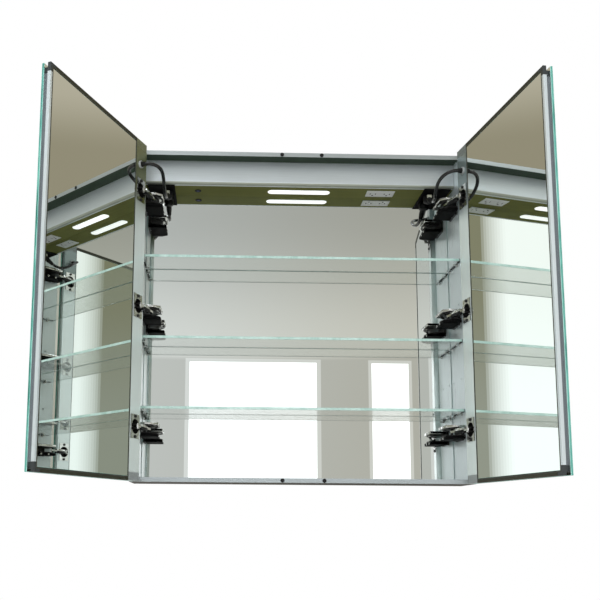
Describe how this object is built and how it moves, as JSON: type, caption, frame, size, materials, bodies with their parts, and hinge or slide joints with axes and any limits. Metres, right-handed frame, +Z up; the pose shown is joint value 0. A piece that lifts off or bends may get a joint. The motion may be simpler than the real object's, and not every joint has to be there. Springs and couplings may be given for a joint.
{
  "type": "mirrored medicine cabinet",
  "caption": "Wall cabinet with mirrored doors on cup hinges, glass shelves on pins, a mirror-lined back, and a light box that holds a lamp, a touch switch and a power outlet.",
  "frame": {"origin": "middle of the back face, on the wall", "axes": "+Z up, the front faces -Y, +X to the right as seen from the front"},
  "size_m": [0.9536, 0.5124, 0.762],
  "materials": {
    "satin_aluminium": "satin anodised",
    "bronze_aluminium": "satin bronze anodised",
    "mirror_glass": "silvered",
    "shelf_glass": "clear, green edges",
    "board_plastic": "matte",
    "cap_plastic": "fine grain",
    "grey_plastic": "smooth",
    "black_plastic": "fine grain",
    "black_rubber": "matte",
    "lead_jacket": "satin",
    "lamp_plastic": "frosted",
    "white_plastic": "gloss",
    "switch_plastic": "gloss",
    "pad_film": "film",
    "box_steel": "powder coat",
    "board_metal": "white coated",
    "hinge_nickel": "nickel plated",
    "hinge_dark": "black oxide",
    "screw_steel": "zinc plated"
  },
  "bodies": {
    "cabinet": {"left_side_panel": "satin_aluminium", "left_hinge_arms": "hinge_dark", "left_hinge_plates": "hinge_nickel", "left_hinge_plate_screws": "screw_steel", "left_lead": "lead_jacket", "right_side_panel": "satin_aluminium", "right_hinge_arms": "hinge_dark", "right_hinge_plates": "hinge_nickel", "right_hinge_plate_screws": "screw_steel", "right_lead": "lead_jacket", "top_panel": "satin_aluminium", "bottom_panel": "satin_aluminium", "body_screws": "screw_steel", "back_panel": "board_plastic", "back_mirror": "mirror_glass", "bottom_shelf": "shelf_glass", "middle_shelf": "shelf_glass", "top_shelf": "shelf_glass", "shelf_pins": "screw_steel", "light_box_cover": "satin_aluminium", "light_box_base": "bronze_aluminium", "led_diffuser": "lamp_plastic", "led_board": "board_metal", "led_driver": "box_steel", "touch_switch": "switch_plastic", "outlet_receptacle": "white_plastic", "outlet_box": "box_steel", "door_bumpers": "black_rubber", "cable_glands": "black_plastic"},
    "left_door": {"left_door_front_mirror": "mirror_glass", "left_door_back_mirror": "mirror_glass", "left_door_mirror_gasket": "black_rubber", "left_door_hinge_stile": "satin_aluminium", "left_door_latch_stile": "satin_aluminium", "left_door_top_rail": "satin_aluminium", "left_door_bottom_rail": "satin_aluminium", "left_door_corner_caps": "cap_plastic", "left_door_defogger_pad": "pad_film", "left_door_cable_grommet": "grey_plastic", "left_hinge_cups": "hinge_nickel", "left_hinge_cup_screws": "screw_steel", "left_hinge_pins": "screw_steel"},
    "right_door": {"right_door_front_mirror": "mirror_glass", "right_door_back_mirror": "mirror_glass", "right_door_mirror_gasket": "black_rubber", "right_door_hinge_stile": "satin_aluminium", "right_door_latch_stile": "satin_aluminium", "right_door_top_rail": "satin_aluminium", "right_door_bottom_rail": "satin_aluminium", "right_door_corner_caps": "cap_plastic", "right_door_defogger_pad": "pad_film", "right_door_cable_grommet": "grey_plastic", "right_hinge_cups": "hinge_nickel", "right_hinge_cup_screws": "screw_steel", "right_hinge_pins": "screw_steel"},
    "left_levers": {"left_hinge_levers": "hinge_nickel", "left_hinge_rollers": "screw_steel"},
    "right_levers": {"right_hinge_levers": "hinge_nickel", "right_hinge_rollers": "screw_steel"}
  },
  "joints": [
    {"name": "left_door_hinge", "type": "hinge", "parent": "cabinet", "child": "left_door", "pos_m": [-0.376, -0.1385, 0], "axis": [0, 0, 1], "range_deg": [-2, 113], "deforming": ["left_lead"]},
    {"name": "left_lever_pivot", "type": "hinge", "parent": "left_door", "child": "left_levers", "pos_m": [-0.35981, -0.16819, 0], "axis": [0, 0, 1], "range_deg": [-105, 2.1]},
    {"name": "right_door_hinge", "type": "hinge", "parent": "cabinet", "child": "right_door", "pos_m": [0.376, -0.1385, 0], "axis": [0, 0, -1], "range_deg": [-17, 98], "deforming": ["right_lead"]},
    {"name": "right_lever_pivot", "type": "hinge", "parent": "right_door", "child": "right_levers", "pos_m": [0.35268, -0.16298, 0], "axis": [0, 0, -1], "range_deg": [-91.1, 16]}
  ],
  "couplings": [
    {"joint": "left_lever_pivot", "follows": "left_door_hinge", "ratio": -0.92783},
    {"joint": "right_lever_pivot", "follows": "right_door_hinge", "ratio": -0.92783}
  ]
}
